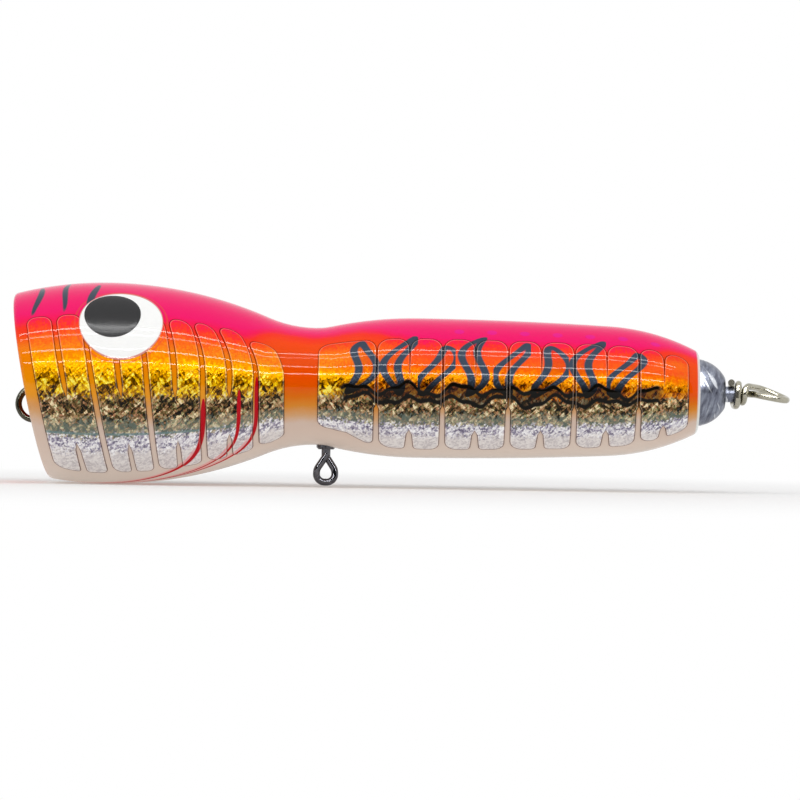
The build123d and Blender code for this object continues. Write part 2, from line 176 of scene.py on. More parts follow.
class Finish:
    """The nodes of a material, or of the world, under construction."""

    def __init__(self, name, owner=None):
        self.material = owner or bpy.data.materials.new(name)
        self.material.use_nodes = True
        self.tree = self.material.node_tree
        self.tree.nodes.clear()

    def node(self, kind, settings, sockets):
        """A shader node: its settings are made first, then its sockets get values or links."""
        made = self.tree.nodes.new("ShaderNode" + kind)
        for name, setting in settings.items():
            if name == "stops":
                ramp = made.color_ramp
                for place, _ in setting[2:]:
                    ramp.elements.new(place)
                for element, (place, colour) in zip(ramp.elements, setting):
                    element.position = place
                    element.color = colour
            else:
                setattr(made, name, setting)
        named = {socket.name: socket for socket in made.inputs if socket.enabled}
        for name, value in sockets.items():
            socket = made.inputs[name] if isinstance(name, int) else named[name]
            if isinstance(value, Value):
                self.tree.links.new(value.socket, socket)
            else:
                socket.default_value = value
        outputs = [socket for socket in made.outputs if socket.enabled]
        return Value(self, outputs[0]) if outputs else None

    def place(self):
        return self.node("TexCoord", {}, {}).other("Object")

    def noise(self, vector, scale, detail=2.0, roughness=0.5):
        sockets = {"Vector": vector, "Scale": scale, "Detail": detail, "Roughness": roughness}
        return self.node("TexNoise", {}, sockets)

    def ramp(self, value, *stops):
        """Colours between stops, each a place from 0 to 1 and a colour from 0 to 255."""
        coloured = [(place, pigment(*colour)) for place, colour in stops]
        return self.node("ValToRGB", {"stops": coloured}, {"Fac": value})

    def ramp_round_body(self, angle, *stops):
        """Colours from the belly, at -90 degrees, to the back, at 90."""
        shares = [((stop + 90) / 180, colour) for stop, colour in stops]
        return self.ramp((angle + 90) / 180, *shares)

    def mix(self, share, one, other, blend="MIX"):
        settings = {"data_type": "RGBA", "blend_type": blend}
        return self.node("Mix", settings, {"Factor": share, "A": one, "B": other})

    def bump(self, height, strength, depth):
        return self.node("Bump", {}, {"Height": height, "Strength": strength, "Distance": depth})

    def shader(self, sockets):
        surface = self.node("BsdfPrincipled", {}, sockets)
        self.node("OutputMaterial", {}, {"Surface": surface})
        return self.material


def seen_share(finish):
    """1 for what the camera, a reflection or a view through glass sees, and 0 for light that falls."""
    path = finish.node("LightPath", {}, {})
    reflected = path.other("Is Glossy Ray").most(path.other("Is Transmission Ray"))
    return path.other("Is Camera Ray").most(reflected)


bpy.ops.object.select_all(action="DESELECT")
bpy.ops.mesh.primitive_plane_add(size=TABLE_SIZE, location=(CAMERA_STATION, 0, cad_low[2]))
table = bpy.context.object
table.name = "table"
white_table = Finish("white_table")
from_lure = white_table.node("VectorMath", {"operation": "LENGTH"}, {0: white_table.place()}).other("Value")
near_level = TABLE_NEAR + from_lure.step(*SHADOW_ENDS) * (1 - TABLE_NEAR)
lit_share = TABLE_FILL + seen_share(white_table) * (near_level - TABLE_FILL)
table_matt = white_table.node("BsdfDiffuse", {}, {"Color": TABLE_WHITE})
table_lit = white_table.node("Emission", {}, {"Color": LIT_WHITE})
table_mix = white_table.node("MixShader", {}, {0: lit_share, 1: table_matt, 2: table_lit})
white_table.node("OutputMaterial", {}, {"Surface": table_mix})
table.data.materials.append(white_table.material)

sky = Finish("sky", bpy.data.worlds.new("sky"))
bpy.context.scene.world = sky.material
sky_level = SKY_LEVEL + seen_share(sky) * (1 - SKY_LEVEL)
sky_light = sky.node("Background", {}, {"Color": LIT_WHITE, "Strength": sky_level})
sky.node("OutputWorld", {}, {"Surface": sky_light})


def hang_lamp(name, elevation, distance, size, glow):
    """An oblong lamp on the camera's side that faces the lure from an elevation."""
    length, height = size
    data = bpy.data.lights.new(name, "AREA")
    data.shape = "RECTANGLE"
    data.size = length
    data.size_y = height
    data.energy = glow * math.pi * length * height
    lamp = bpy.data.objects.new(name, data)
    up = math.radians(elevation)
    lamp.location = (CAMERA_STATION, -distance * math.cos(up), distance * math.sin(up))
    lamp.rotation_euler = (math.pi / 2 - up, 0, 0)
    bpy.context.collection.objects.link(lamp)
    return lamp


# The softbox is two lamps in one place: one that lights the lure, and one that shows in its gloss
softbox = hang_lamp("softbox", SOFTBOX_ELEVATION, SOFTBOX_DISTANCE, SOFTBOX_SIZE, SOFTBOX_GLOW)
softbox.visible_glossy = False
softbox_face = hang_lamp("softbox_face", SOFTBOX_ELEVATION, SOFTBOX_DISTANCE, SOFTBOX_SIZE, SOFTBOX_FACE_GLOW)
softbox_face.visible_diffuse = False
# The card stands under the softbox, behind the lower tubes, and shows only in gloss
bpy.ops.object.select_all(action="DESELECT")
bpy.ops.mesh.primitive_plane_add(size=1)
card = bpy.context.object
card.name = "black_card"
for point in card.data.vertices:
    along = CAMERA_STATION + point.co.x * CARD_SIZE[0]
    point.co = (along, CARD_PLACE, cad_low[2] + (point.co.y + 0.5) * CARD_SIZE[1])
card_black = Finish("card_black")
card_matt = card_black.node("BsdfDiffuse", {}, {"Color": CARD_BLACK})
card_black.node("OutputMaterial", {}, {"Surface": card_matt})
card.data.materials.append(card_black.material)
card.visible_camera = False
card.visible_diffuse = False
card.visible_transmission = False
card.visible_shadow = False
for number, (elevation, glow) in enumerate(zip(TUBE_ELEVATIONS, TUBE_GLOWS)):
    tube = hang_lamp(f"tube_{number}", elevation, TUBE_DISTANCE, TUBE_SIZE, glow)
    tube.visible_diffuse = False


# ---- Painted body ----
# Two halves of wood, glued round the wire and turned as one, with a dished mouth. It is sprayed
# magenta on the back, through orange, to a pale belly, and dipped in a thick clear lacquer.
# The outline's points are a station and a radius in millimetres, and its turns are shares of a chord.
LIP_RADIUS = 22.2
HEAD = (24.0, 25.4)
NAPE_TURN = 0.77
WAIST = (76.4, 14.8)
RISE_TURN = 0.155
BARREL = (102.0, 17.65)
HIP = (150.6, 16.4)
TAIL = (173.1, 10.2)
TAIL_ROUNDING = 1.9
MOUTH_SLANT = math.radians(11.5)
CUP_RADIUS = 21.3 * MM
CUP_DEPTH = 13.5 * MM
CUP_BELOW_AXIS = 1.0 * MM
CUP_RINGS = 20
SMALLEST_RING = 0.001
TAIL_RINGS = (0.5, 0.1)
LIP_OUTER_ROUNDING = 1.1 * MM
LIP_INNER_ROUNDING = 0.6 * MM
LIP_STEPS = 5
ROW_LENGTH = 2.1 * MM
COLUMNS = 192
MOUTH_ROUNDS = 8
BODY_SMOOTHING = math.radians(40)
SAME_PLACE = 0.001 * MM
ON_PLANE = 0.01 * MM

body_low, body_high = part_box("body_left_half")
lip_x = body_low.x
axis_z = body_high.z - HEAD[1] * MM
FORWARD = Vector((1.0, 0.0))


def at(station, radius):
    """A point of the outline, in the plane of x and z, from a station and a radius in millimetres."""
    return Vector((lip_x + station * MM, axis_z + radius * MM))


def tangent_arc(start, heading, end):
    """The arc that leaves start along heading and reaches end: its centre, turn and last heading."""
    chord = end - start
    across = Vector((-heading.y, heading.x))
    centre = start + across * (chord.length_squared / (2 * across.dot(chord)))
    turn = 2 * math.atan2(heading.x * chord.y - heading.y * chord.x, heading.dot(chord))
    cosine, sine = math.cos(turn), math.sin(turn)
    last = Vector((heading.x * cosine - heading.y * sine, heading.x * sine + heading.y * cosine))
    return centre, turn, last


lip, head, waist = at(0, LIP_RADIUS), at(*HEAD), at(*WAIST)
barrel, hip, tail = at(*BARREL), at(*HIP), at(*TAIL)
brow_centre, brow_turn, _ = tangent_arc(head, -FORWARD, lip)
# Each arc: where it starts, its centre, its turn and its radius
outline_arcs = [(lip.x, brow_centre, -brow_turn, (lip - brow_centre).length)]
start, heading = head, FORWARD
for end in (head.lerp(waist, NAPE_TURN), waist, waist.lerp(barrel, RISE_TURN), barrel, hip, tail):
    centre, turn, last = tangent_arc(start, heading, end)
    outline_arcs.append((start.x, centre, turn, (start - centre).length))
    start, heading = end, last
# The taper stops short at the tail's rounded edge
_, taper_centre, _, taper_radius = outline_arcs.pop()
edge_x = tail.x - TAIL_ROUNDING * MM
edge_drop = math.sqrt((taper_radius - TAIL_ROUNDING * MM) ** 2 - (edge_x - taper_centre.x) ** 2)
edge_centre = Vector((edge_x, taper_centre.y + edge_drop))
edge_start = taper_centre + (edge_centre - taper_centre).normalized() * taper_radius
taper_angle = -(hip - taper_centre).angle(edge_start - taper_centre)
outline_arcs.append((hip.x, taper_centre, taper_angle, taper_radius))
edge_angle = -(edge_start - edge_centre).angle(FORWARD)


def body_radius(x):
    """The turned body's radius at a place along the axis."""
    passed = [arc for arc in outline_arcs if arc[0] <= x + SAME_PLACE]
    _, centre, turn, radius = passed[-1] if passed else outline_arcs[0]
    rise = math.sqrt(max(0.0, radius**2 - (x - centre.x) ** 2))
    return centre.y - axis_z + math.copysign(rise, -turn)


def pick(piece, test):
    """In edit mode, selects the points whose place passes the test, and what lies between them."""
    bpy.ops.mesh.select_all(action="DESELECT")
    shape = bmesh.from_edit_mesh(piece.data)
    for point in shape.verts:
        point.select_set(test(point.co))
    shape.select_flush(True)
    bmesh.update_edit_mesh(piece.data)


def edit_all():
    """Opens the active piece in edit mode, with all of it selected."""
    bpy.ops.object.mode_set(mode="EDIT")
    bpy.ops.mesh.select_all(action="SELECT")


def draw_arc(centre, turn, steps):
    """Carries the outline's last point round an arc in the plane of x and z."""
    bpy.ops.mesh.spin(steps=steps, angle=turn, center=(centre.x, 0, centre.y), axis=(0, 1, 0))


def grow_ring(centre, factor, shift):
    """Extrudes the chosen ring, then resizes it about its centre and shifts it."""
    bpy.ops.mesh.extrude_region_move()
    bpy.ops.transform.resize(value=(factor, factor, factor), center_override=centre)
    bpy.ops.transform.translate(value=shift)


# The outline is drawn from a single point at the lip to the tail, and spun round the axis
bpy.ops.object.select_all(action="DESELECT")
bpy.ops.mesh.primitive_plane_add(size=MM, location=(lip.x, 0, lip.y))
body = bpy.context.object
body.name = "painted_body"
bpy.ops.object.transform_apply(location=True)
edit_all()
bpy.ops.mesh.merge(type="CENTER")
for _, centre, turn, radius in outline_arcs:
    draw_arc(centre, turn, max(3, round(abs(turn) * radius / ROW_LENGTH)))
draw_arc(edge_centre, edge_angle, LIP_STEPS)
bpy.ops.mesh.select_all(action="SELECT")
bpy.ops.mesh.spin(steps=COLUMNS, angle=2 * math.pi, center=(0, 0, axis_z), axis=(1, 0, 0))
bpy.ops.mesh.select_all(action="SELECT")
bpy.ops.mesh.remove_doubles(threshold=SAME_PLACE)

# The rows of the head close up towards the slanted mouth
shape = bmesh.from_edit_mesh(body.data)
for point in shape.verts:
    station = point.co.x - lip_x
    if station < HEAD[0] * MM - SAME_PLACE:
        side = math.atan2(point.co.z - axis_z, point.co.y)
        front = 0.0
        for _ in range(MOUTH_ROUNDS):
            front = (LIP_RADIUS * MM - body_radius(lip_x + front) * math.sin(side)) * math.tan(MOUTH_SLANT)
        point.co.x = lip_x + front + station * (1 - front / (HEAD[0] * MM))
        radius = body_radius(point.co.x)
        point.co.y = radius * math.cos(side)
        point.co.z = axis_z + radius * math.sin(side)
bmesh.update_edit_mesh(body.data)

# The flat rim of the mouth, then the dish in rings, then the two edges of the rim are rounded
mouth_in = Vector((math.cos(MOUTH_SLANT), 0, math.sin(MOUTH_SLANT)))
mouth_down = Vector((math.sin(MOUTH_SLANT), 0, -math.cos(MOUTH_SLANT)))
upper_lip = Vector((lip.x, 0, lip.y))
cup_centre = upper_lip + mouth_down * (LIP_RADIUS * MM / math.cos(MOUTH_SLANT) + CUP_BELOW_AXIS)
cup_ball = (CUP_RADIUS**2 + CUP_DEPTH**2) / (2 * CUP_DEPTH)
cup_opening = math.asin(CUP_RADIUS / cup_ball)


def in_mouth_plane(place):
    return abs((place - upper_lip).dot(mouth_in)) < ON_PLANE


def on_rim(place, outer):
    """Whether a place lies on the rim's outer edge, or else on its inner one."""
    beyond = (place - cup_centre).length > CUP_RADIUS + LIP_OUTER_ROUNDING / 2
    return in_mouth_plane(place) and beyond == outer


pick(body, in_mouth_plane)
bpy.ops.mesh.extrude_region_move()
shape = bmesh.from_edit_mesh(body.data)
for point in shape.verts:
    if point.select:
        point.co = cup_centre + (point.co - cup_centre).normalized() * CUP_RADIUS
bmesh.update_edit_mesh(body.data)
for ring in range(CUP_RINGS):
    opening = cup_opening * (1 - ring / CUP_RINGS)
    next_opening = cup_opening * (1 - (ring + 1) / CUP_RINGS)
    deeper = cup_ball * (math.cos(next_opening) - math.cos(opening))
    depth = cup_ball * (math.cos(opening) - math.cos(cup_opening))
    factor = max(SMALLEST_RING, math.sin(next_opening) / math.sin(opening))
    grow_ring(cup_centre + mouth_in * depth, factor, mouth_in * deeper)
bpy.ops.mesh.merge(type="CENTER")
for outer, rounding in ((True, LIP_OUTER_ROUNDING), (False, LIP_INNER_ROUNDING)):
    pick(body, lambda place: on_rim(place, outer))
    bpy.ops.mesh.bevel(offset=rounding, offset_type="OFFSET", segments=LIP_STEPS, affect="EDGES")

# The tail's end face closes on the axis
pick(body, lambda place: abs(place.x - tail.x) < ON_PLANE)
for factor in TAIL_RINGS:
    grow_ring(Vector((tail.x, 0, axis_z)), factor, Vector((0, 0, 0)))
bpy.ops.mesh.merge(type="CENTER")
bpy.ops.mesh.select_all(action="SELECT")
bpy.ops.mesh.normals_make_consistent(inside=False)
bpy.ops.object.mode_set(mode="OBJECT")
bpy.ops.object.shade_smooth_by_angle(angle=BODY_SMOOTHING)


def body_places(finish):
    """Where a point of the surface lies: its place, its station in millimetres, its angle above the side
    in degrees, and its height above the axis in millimetres."""
    place = finish.place()
    parts = finish.node("SeparateXYZ", {}, {"Vector": place})
    station = parts.other("X") / MM - lip_x / MM
    height = parts.other("Z") / MM - axis_z / MM
    side = abs(parts.other("Y")) / MM
    angle = height.math("ARCTAN2", height, side) * math.degrees(1)
    return place, station, angle, height


# Each gill stroke: station of its top, how far it sweeps forward, how sharply, its two end angles,
# and half its width
GILL_STROKES = (
    (49.2, 35.0, 4.6, -9.0, -86.0, 0.72),
    (57.9, 39.2, 4.9, -3.0, -86.5, 0.52),
    (62.2, 44.7, 5.0, 7.0, -88.0, 0.58),
)
# How fast a stroke widens below its blunt top, and by what power it thins towards its foot
GILL_TOP = 9.0
GILL_TAPER = 0.28
GILL_RED = pigment(184, 6, 24)
# The paler line, a painted highlight along the front of each stroke: how far it stands before its stroke, its
# sharp and soft half widths, its top and its fade
GILL_HIGHLIGHT_LINE = (0.9, 0.15, 0.5, -50.0, 8.0)
GILL_HIGHLIGHT_PINK = pigment(238, 132, 134)


def gill_strokes(station, angle):
    """How far a point lies under the red gill strokes, and under the paler line, a painted highlight, in
    front of each.
    """
    red = painted_gill_highlight = 0.0
    ahead, sharp, soft, highlight_top, fade = GILL_HIGHLIGHT_LINE
    down = (0 - angle).most(0.0) / 90
    for front, sweep, power, top, bottom, half_width in GILL_STROKES:
        line = front - down**power * sweep
        slope = down ** (power - 1) * (sweep * power / 90 * math.degrees(1) / HEAD[1])
        off = (station - line) / (slope * slope + 1) ** 0.5
        share = (angle - bottom) / (top - bottom)
        blunt = ((1 - share) * GILL_TOP).most(0.0).least(1.0) ** 0.5
        width = blunt * share.most(0.0) ** GILL_TAPER * half_width
        stroke = (1 - abs(off).step(width * 0.75, width * 1.1 + 0.05)) * width.step(0.02, 0.2)
        red = stroke.most(red)
        beside = (1 - abs(off + ahead).step(sharp, soft)) * angle.between(bottom + 2, highlight_top, fade)
        painted_gill_highlight = beside.most(painted_gill_highlight)
    return red, painted_gill_highlight


# Wavy bars across the back, as a mackerel has: start, pitch, count, middle angle, half height, half width
FLANK_BARS = (88.0, 9.4, 8, 18.0, 25.0, 3.3)
BROW_BARS = (7.0, 7.0, 3, 62.0, 19.0, 0.85)
BAR_LINE = 2.05
# The turn from one bar's bends to the next one's, and how far the bars shift, stretch, sway and swell
BAR_TURN = 2.399
BAR_WANDER = 3.0
BAR_GROWTH = 0.12
BAR_SWAY = 0.6
BAR_SWELL = 0.14
STRIPE_ENDS = (84.0, 162.0)
STRIPE_LEVEL = -5.5
# The stripe's waves, each how quick and how high, and its half breadth: middle, swell, how quick
STRIPE_WAVES = ((0.52, 3.2), (1.21, 1.4))
STRIPE_BREADTH = (6.3, 1.9, 0.39)
STRIPE_EDGE = 0.9
STRIPE_LINE = (4.3, 3.1)
STRIPE_THIN = 0.26
BAR_SLATE = pigment(56, 68, 84)
BAR_BLACK = pigment(14, 12, 8)
BAR_OLIVE = pigment(120, 92, 40)


def wavy_bars(station, angle, bars):
    """How far a point lies within a row of wavy bars, and within their hollow middles."""
    start, pitch, count, middle, half, broad = bars
    number = ((station - start) / pitch).nearest_whole().most(0.0).least(count - 1.0)
    along = station - start - number * pitch
    own = number * BAR_TURN
    share = (angle - middle - own.sine() * BAR_WANDER) / ((own.sine() * BAR_GROWTH + 1.0) * half)
    sway = (angle * 0.12 + own).sine() * (broad * BAR_SWAY) + share * (broad * BAR_SWAY)
    width = (1 - share * share).most(0.0) ** 0.5 * ((own * 1.7).sine() * BAR_SWELL + 1.0) * broad
    off = abs(along - sway)
    whole = (1 - off.step(width - 0.25, width + 0.2)) * width.step(0.1, 0.5)
    inner = width - BAR_LINE
    hollow = (1 - off.step(inner - 0.2, inner + 0.2)) * inner.step(0.0, 0.5)
    return whole, hollow


def side_stripe(station, angle):
    """How far a point lies under the dark stripe that runs along the flank below the bars."""
    slow, quick = ((station * pace).sine() * rise for pace, rise in STRIPE_WAVES)
    middle, swell, pace = STRIPE_BREADTH
    breadth = (station * pace + 1.0).sine() * swell + middle
    off = abs(angle - STRIPE_LEVEL - (slow + quick))
    whole = 1 - off.step(breadth - STRIPE_EDGE, breadth + STRIPE_EDGE)
    whole = whole * station.between(*STRIPE_ENDS, 2.0)
    line, core = STRIPE_LINE
    return whole * (1 - (1 - off.step(breadth - line, breadth - core)) * STRIPE_THIN)


# A row of dots over the tops of the foil's strips: first station, pitch, count, angle, and half sizes
DOTS = (112.4, 8.2, 7, 54.0, 1.4, 3.6)
DOT_PINK = pigment(232, 0, 140)
# The white of the eye: its station and angle, its radius, and the lacquer's rim round it in millimetres
EYE_PLACE = (28.4, 37.0)
EYE_RADIUS = 10.45 * MM
EYE_MENISCUS = 0.9
MENISCUS_RED = pigment(222, 74, 44)


def dot_row(station, angle):
    """How far a point lies within a row of dots."""
    first, pitch, count, level, long_half, high_half = DOTS
    dot = ((station - first) / pitch).nearest_whole().most(0.0).least(count - 1.0)
    along = (station - first - dot * pitch) / long_half
    across = (angle - level) / high_half
    return 1 - (along * along + across * across).step(0.45, 1.1)


def from_seat(station, angle, seat):
    """How far a point lies from the middle of a disc on the head, in millimetres over the body."""
    along = station - seat[0]
    over = (angle - seat[1]) * (math.radians(1) * HEAD[1])
    return (along * along + over * over) ** 0.5


def paint_marks(finish, colour, station, angle):
    """Adds the gill strokes, the bars, the stripe, the dots, and the lacquer's rim round the eye."""
    colour = finish.mix(dot_row(station, angle) * 0.85, colour, DOT_PINK)
    rim = EYE_RADIUS / MM + EYE_MENISCUS
    round_eye = from_seat(station, angle, EYE_PLACE).between(rim, rim + 0.15, 0.3)
    colour = finish.mix(round_eye * 0.55, colour, MENISCUS_RED)
    red, painted_gill_highlight = gill_strokes(station, angle)
    # A paler pink line in front of each gill stroke is a painted highlight
    colour = finish.mix(painted_gill_highlight * 0.7, colour, GILL_HIGHLIGHT_PINK)
    colour = finish.mix(red, colour, GILL_RED)
    low = 1 - angle.step(-4.0, 14.0)
    whole, hollow = wavy_bars(station, angle, FLANK_BARS)
    brow, _ = wavy_bars(station, angle, BROW_BARS)
    stripe = side_stripe(station, angle)
    ink = finish.mix(low.most(stripe), BAR_SLATE, BAR_BLACK)
    colour = finish.mix(hollow * (low * 0.6 + 0.2), colour, BAR_OLIVE, "MULTIPLY")
    lines = (whole * (1 - hollow)).most(brow).most(stripe)
    return finish.mix(lines, colour, ink)


WAIST_SPAN = ((58.0, 68.0), (86.0, 106.0))
TAIL_SPAN = (156.0, 168.0)
# How far the belly's colours climb, and how far they sink back at the waist and at the tail, in degrees
BELLY_SHIFTS = (11.0, 11.0, 16.0)
# How far the edge of the back's magenta climbs at the waist and at the tail
BACK_SHIFTS = (18.0, 14.0)
BELLY_TO_BACK = (4.0, 34.0)


def colour_shift(station, angle):
    """How far the bands of colour move round the body: the magenta ends higher at the waist and the tail,
    and the pale belly reaches higher elsewhere."""
    start, end = WAIST_SPAN
    waist_share = station.step(*start) * (1 - station.step(*end))
    tail_share = station.step(*TAIL_SPAN)
    upper = angle.step(*BELLY_TO_BACK)
    climb, waist_fall, tail_fall = BELLY_SHIFTS
    waist_climb, tail_climb = BACK_SHIFTS
    low_shift = tail_share * tail_fall + waist_share * waist_fall - climb
    high_shift = 0 - waist_share * waist_climb - tail_share * tail_climb
    return low_shift * (1 - upper) + high_shift * upper


def lacquer(finish, colour, extra):
    """Paint under a smooth, thick clear coat."""
    sockets = {"Base Color": colour, "Specular IOR Level": 0.0}
    coat = {"Coat Weight": 1.0, "Coat Roughness": 0.03, "Coat IOR": 1.22}
    return finish.shader({**sockets, **coat, **extra})


body_paint = Finish("lacquered_body")
place, station, angle, _ = body_places(body_paint)
mist = body_paint.noise(place, 260.0, 3.0) - 0.5
grain = body_paint.noise(place, 2600.0) - 0.5
coat = body_paint.ramp_round_body(
    angle + colour_shift(station, angle) + mist * 5 + grain * 3,
    (-90, (222, 208, 196)),
    (-38, (212, 188, 172)),
    (-29, (210, 160, 112)),
    (-19, (214, 134, 44)),
    (-10, (216, 108, 2)),
    (0, (224, 82, 0)),
    (12, (236, 74, 2)),
    (25, (244, 70, 4)),
    (35, (246, 44, 24)),
    (40, (244, 6, 80)),
    (46, (242, 0, 104)),
    (90, (236, 10, 104)),
)
# The head's sides glow yellow, and the tail's rounded edge is white: a painted highlight
head_glow = (1 - station.step(56.0, 70.0)) * angle.between(-4.0, 18.0, 12.0)
coat = body_paint.mix(head_glow * 0.4, coat, pigment(255, 176, 10))
painted_tail_highlight = station.step(TAIL[0] - 1.0, TAIL[0] - 0.5)
coat = body_paint.mix(painted_tail_highlight * 0.85, coat, pigment(226, 234, 232))
coat = paint_marks(body_paint, coat, station, angle)
relief = body_paint.bump(grain, 0.04, 0.05 * MM)
body.data.materials.append(lacquer(body_paint, coat, {"Roughness": 0.35 + mist * 0.1, "Normal": relief}))

cup_paint = Finish("cup_paint")
place, _, _, height = body_places(cup_paint)
mist = cup_paint.noise(place, 200.0, 3.0) - 0.5
grain = cup_paint.noise(place, 2600.0) - 0.5
cup_coat = cup_paint.ramp_round_body(
    height / HEAD[1] * 58 + mist * 6 + grain * 3,
    (-90, (222, 208, 196)),
    (-44, (220, 200, 182)),
    (-26, (232, 176, 108)),
    (-6, (242, 126, 20)),
    (18, (248, 66, 14)),
    (36, (246, 20, 64)),
    (90, (238, 24, 104)),
)
body.data.materials.append(lacquer(cup_paint, cup_coat, {"Roughness": 0.35 + mist * 0.1}))
for face in body.data.polygons:
    off_axis = math.hypot(face.center.y, face.center.z - axis_z)
    in_head = face.center.x < lip_x + HEAD[0] * MM
    in_cup = in_head and off_axis < body_radius(face.center.x) - LIP_OUTER_ROUNDING
    face.material_index = int(in_cup)
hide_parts("body_left_half", "body_right_half")
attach(body, "lure")


# ---- Foil ----
# Reflective foil, cut flat into slit panels and rubbed down round each flank under the tinted paint.
# A long slit parts each panel from the next, a notch opens each panel from below and a slit from above.
FOIL_LIFT = 0.03 * MM
FOIL_THICKNESS = 0.13 * MM
FOIL_EDGES = (0.2 * MM, 0.22 * MM)
FOIL_CELL = 1.1 * MM
CORNER_STEPS = 6
WRAP_ROUNDS = 4
SHEET_SMOOTHING = math.radians(35)
FACE, CUT_EDGE, HIGHLIGHT_EDGE = range(3)
# The angles over which each band of colour gives way to the one below it, from the gold down
BAND_EDGES = ((3.0, 9.0), (-10.0, -5.0), (-25.0, -19.0), (-33.0, -29.0), (-46.0, -38.0))
LATERAL_LINE = (-30.6, -29.6, 0.5)
BARREL_START = (78.0, 92.0)


def drawn_out(finish, place, turn, lengths):
    """A place turned and drawn out, for grain that runs one way."""
    sockets = {"Vector": place, "Rotation": turn, "Scale": lengths}
    return finish.node("Mapping", {"vector_type": "TEXTURE"}, sockets)


def shards(finish, place, slant, length, scale):
    """Crumpled facets, drawn out along a slant, each with a shade of its own, which paints how much light
    that facet reflects.
    """
    slanted = drawn_out(finish, place, (0, slant, 0), (1, 1, length))
    facet = finish.node("TexVoronoi", {}, {"Vector": slanted, "Scale": scale})
    shade = finish.node("SeparateColor", {}, {"Color": facet.other("Color")})
    return facet, shade


def foil_finish(name, edge):
    """Crinkled foil under the tinted paint: gold at mid height, dark shards below it, then silver. The
    shards' light and dark, the dark band and the silver are painted reflections of the surroundings.
    """
    finish = Finish(name)
    place, station, angle, _ = body_places(finish)
    warp = finish.noise(place, 500.0, 3.0, 0.6)
    shift = finish.node("VectorMath", {"operation": "SCALE"}, {0: warp.other("Color"), "Scale": 0.8 * MM})
    warped = finish.node("VectorMath", {"operation": "ADD"}, {0: place, 1: shift})
    # Two crossing sets of facets and a few flecks give the crumple its light and dark, as painted reflection
    # in the colour
    rising, rising_shade = shards(finish, warped, 0.8, 3.8, 1450.0)
    falling, falling_shade = shards(finish, warped, -0.65, 3.4, 1650.0)
    fleck, fleck_shade = shards(finish, place, 0.2, 1.6, 2500.0)
    mixed = rising_shade * 0.42 + falling_shade * 0.34 + fleck_shade * 0.24
    # How light each facet is painted: a painted reflection
    light = (mixed - 0.5) * 1.55 + 0.5
    wobble = finish.noise(place, 300.0) - 0.5
    level = angle + wobble * 7 + (fleck_shade.other("Green") - 0.5) * 6
    # Above the gold the foil is smooth, and takes the colours of the paint beside it
    barrel_share = station.step(*BARREL_START)
    smooth_level = level + barrel_share * (1 - level.step(18.0, 36.0)) * 8
    smooth_level = smooth_level + colour_shift(station, angle) * angle.step(14.0, 30.0) * 0.55
    smooth = finish.ramp_round_body(
        smooth_level,
        (-90, (222, 216, 218)),
        (-34, (214, 210, 218)),
        (0, (214, 140, 0)),
        (10, (240, 166, 4)),
        (16, (238, 138, 6)),
        (22, (238, 108, 8)),
        (29, (240, 76, 14)),
        (36, (242, 42, 34)),
        (43, (242, 6, 80)),
        (90, (238, 0, 108)),
    )
    gold = finish.ramp(
        light,
        (0.0, (34, 24, 0)),
        (0.25, (98, 62, 0)),
        (0.42, (170, 110, 0)),
        (0.58, (214, 156, 0)),
        (0.74, (246, 202, 6)),
        (1.0, (255, 240, 100)),
    )
    gold = finish.mix(barrel_share * 0.8, gold, pigment(226, 142, 70), "MULTIPLY")
    olive = finish.ramp(
        light,
        (0.0, (10, 8, 6)),
        (0.24, (36, 30, 16)),
        (0.38, (74, 62, 24)),
        (0.47, (132, 86, 56)),
        (0.55, (84, 86, 44)),
        (0.65, (186, 130, 96)),
        (0.76, (128, 138, 92)),
        (0.88, (214, 176, 132)),
        (1.0, (238, 222, 180)),
    )
    silver = finish.ramp(
        (fleck_shade * 0.55 + rising_shade * 0.45 - 0.5) * 1.5 + 0.5,
        (0.0, (112, 106, 128)),
        (0.28, (164, 158, 178)),
        (0.45, (204, 200, 208)),
        (0.62, (226, 223, 226)),
        (1.0, (250, 249, 250)),
    )
    grey = finish.mix(0.38, olive, pigment(150, 166, 152))
    satin = finish.mix(0.7, silver, pigment(222, 214, 208))
    colour = smooth
    for angles, below in zip(BAND_EDGES, (gold, olive, grey, silver, satin)):
        colour = finish.mix(1 - level.step(*angles), colour, below)
    lateral = angle.between(*LATERAL_LINE) * (1 - station.step(50.0, 60.0))
    colour = finish.mix(lateral * 0.75, colour, pigment(104, 132, 132))
    colour = paint_marks(finish, colour, station, angle)
    if edge == CUT_EDGE:
        colour = finish.mix(0.85, colour, pigment(122, 84, 70), "MULTIPLY")
    # The paler line within the cut edge is a painted highlight
    if edge == HIGHLIGHT_EDGE:
        colour = finish.mix(0.14, colour, pigment(255, 226, 206))
    crinkle = (1 - level.step(6.0, 16.0)) * (level.step(-46.0, -36.0) * 0.6 + 0.3) + 0.1
    relief = finish.bump(rising * 0.5 + falling * 0.3 + fleck * 0.2, crinkle * 0.6, 0.3 * MM)
    sockets = {"Metallic": crinkle * 0.4, "Roughness": 0.3, "Normal": relief}
    if edge == CUT_EDGE:
        sockets["Coat Weight"] = 0.0
    return lacquer(finish, colour, sockets)


foil_finishes = [
    foil_finish("crinkled_foil", FACE),
    foil_finish("foil_cut_edge", CUT_EDGE),
    foil_finish("foil_highlight_edge", HIGHLIGHT_EDGE),
]


